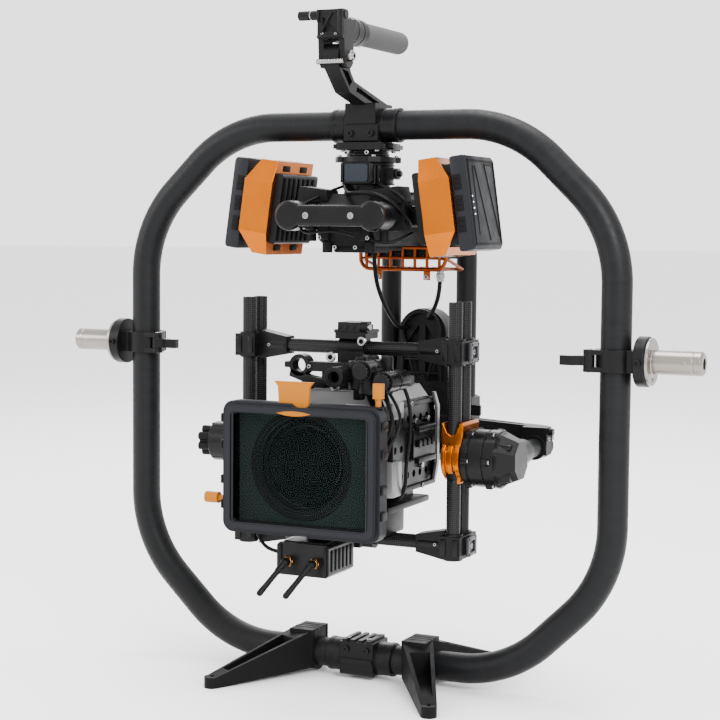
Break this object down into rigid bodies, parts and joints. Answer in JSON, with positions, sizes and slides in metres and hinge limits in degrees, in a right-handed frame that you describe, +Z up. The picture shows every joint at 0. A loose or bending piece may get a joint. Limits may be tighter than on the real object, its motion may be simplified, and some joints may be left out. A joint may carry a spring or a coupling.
{
  "type": "gimbal stabilizer",
  "caption": "Three-axis camera gimbal hung in an octagonal carry ring with feet, side mounting pins, top handle, batteries and a caged camera.",
  "frame": {"origin": "on the floor under the centre of the ring, at the bottom centre of the whole object", "axes": "+Z up, +X along the side pins towards the tilt motor, the lens looks along -Y"},
  "size_m": [0.748, 0.3686, 0.721],
  "materials": {
    "carbon_ring": "matt near-black carbon fibre tube with fine lines round it",
    "black_metal": "black anodised aluminium, satin",
    "black_plastic": "fine-grained black moulding",
    "carbon_tube": "woven carbon fibre, satin",
    "steel": "turned stainless steel",
    "foam": "mid-grey soft foam",
    "panel_blue": "grey-blue window",
    "orange": "orange anodised aluminium",
    "camera_silver": "silver paint",
    "filter_glass": "dark neutral filter glass",
    "cable_rubber": "black rubber"
  },
  "bodies": {
    "root": {"ring_half_left": "carbon_ring", "ring_half_right": "carbon_ring", "ring_top_joiner": "black_metal", "ring_bottom_joiner": "black_metal", "ring_screws": "steel", "foot_left": "black_plastic", "foot_right": "black_plastic", "side_clamp_left": "black_metal", "side_clamp_right": "black_metal", "side_pin_left": "steel", "side_pin_right": "steel", "handle_arm": "black_metal", "quick_release_plate": "black_metal", "pan_stator": "black_metal"},
    "lever_left": {"side_lever_left": "black_metal"},
    "lever_right": {"side_lever_right": "black_metal"},
    "handle": {"handle_bracket": "black_metal", "handle_hinge_bolt": "steel", "handle_grip": "foam"},
    "handle_knob": {"handle_knob": "black_metal"},
    "pan": {"pan_motor_housing": "black_metal", "pan_motor_panel": "panel_blue", "control_unit": "black_plastic", "front_link": "black_metal", "link_screws": "steel", "pan_tube_left": "carbon_tube", "pan_tube_right": "carbon_tube", "battery_bay_left": "orange", "battery_bay_right": "orange", "battery_mounts": "black_metal", "vent_guard": "orange", "roll_motor_bracket": "black_metal", "roll_motor_housing": "black_metal", "roll_cables": "cable_rubber"},
    "battery_left": {"battery_left": "black_plastic"},
    "battery_right": {"battery_right": "black_plastic"},
    "roll": {"roll_arm": "black_metal", "arm_tubes": "carbon_tube", "tilt_motor": "black_metal", "tilt_bearing": "black_metal"},
    "lock_knob": {"tilt_lock_knob": "black_plastic"},
    "tilt": {"tilt_clamp_left": "orange", "tilt_clamp_right": "orange", "cage_tubes": "carbon_tube", "corner_blocks": "black_metal", "camera_body": "camera_silver", "camera_side_plate": "black_metal", "camera_plates": "black_metal", "lens": "black_metal", "matte_box": "black_metal", "rod_clamp": "black_metal", "lens_motors": "black_metal", "transmitter": "black_metal", "payload_cables": "cable_rubber"},
    "filter": {"filter_tray": "orange", "filter_glass": "filter_glass"},
    "side_thumb": {"side_thumb_screw": "orange"},
    "top_thumb": {"top_thumb_screw": "orange"},
    "antenna_left": {"antenna_left": "cable_rubber"},
    "antenna_right": {"antenna_right": "cable_rubber"}
  },
  "joints": [
    {"name": "pan", "type": "hinge", "parent": "root", "child": "pan", "pos_m": [0, 0, 0.555], "axis": [0, 0, 1], "continuous": true},
    {"name": "roll", "type": "hinge", "parent": "pan", "child": "roll", "pos_m": [0, 0.14, 0.257], "axis": [0, 1, 0], "range_deg": [-20, 20]},
    {"name": "tilt", "type": "hinge", "parent": "roll", "child": "tilt", "pos_m": [0, -0.03, 0.257], "axis": [1, 0, 0], "range_deg": [-45, 60]},
    {"name": "side_lever_left", "type": "hinge", "parent": "root", "child": "lever_left", "pos_m": [-0.258, -0.015, 0.363], "axis": [0, 0, 1], "range_deg": [-95, 0]},
    {"name": "side_lever_right", "type": "hinge", "parent": "root", "child": "lever_right", "pos_m": [0.258, -0.015, 0.363], "axis": [0, 0, 1], "range_deg": [0, 95]},
    {"name": "handle_tilt", "type": "hinge", "parent": "root", "child": "handle", "pos_m": [0, -0.082, 0.674], "axis": [1, 0, 0], "range_deg": [0, 40]},
    {"name": "handle_knob_turn", "type": "hinge", "parent": "handle", "child": "handle_knob", "pos_m": [-0.03, -0.09, 0.716], "axis": [1, 0, 0], "continuous": true},
    {"name": "battery_left_slide", "type": "slide", "parent": "pan", "child": "battery_left", "axis": [-0.9903, 0, 0.1392], "range_m": [0, 0.03]},
    {"name": "battery_right_slide", "type": "slide", "parent": "pan", "child": "battery_right", "axis": [0.9903, 0, 0.1392], "range_m": [0, 0.03]},
    {"name": "tilt_lock_turn", "type": "hinge", "parent": "roll", "child": "lock_knob", "pos_m": [-0.18, -0.03, 0.257], "axis": [1, 0, 0], "continuous": true},
    {"name": "filter_slide", "type": "slide", "parent": "tilt", "child": "filter", "axis": [0, 0, 1], "range_m": [0, 0.12]},
    {"name": "side_thumb_turn", "type": "hinge", "parent": "tilt", "child": "side_thumb", "pos_m": [-0.09, -0.162, 0.216], "axis": [1, 0, 0], "continuous": true},
    {"name": "top_thumb_turn", "type": "hinge", "parent": "tilt", "child": "top_thumb", "pos_m": [0.086, -0.157, 0.33], "axis": [0, 0, 1], "continuous": true},
    {"name": "antenna_left_swivel", "type": "hinge", "parent": "tilt", "child": "antenna_left", "pos_m": [-0.021, -0.15, 0.152], "axis": [0, 1, 0], "range_deg": [-10, 60]},
    {"name": "antenna_right_swivel", "type": "hinge", "parent": "tilt", "child": "antenna_right", "pos_m": [0.009, -0.15, 0.152], "axis": [0, 1, 0], "range_deg": [-80, 10]}
  ]
}
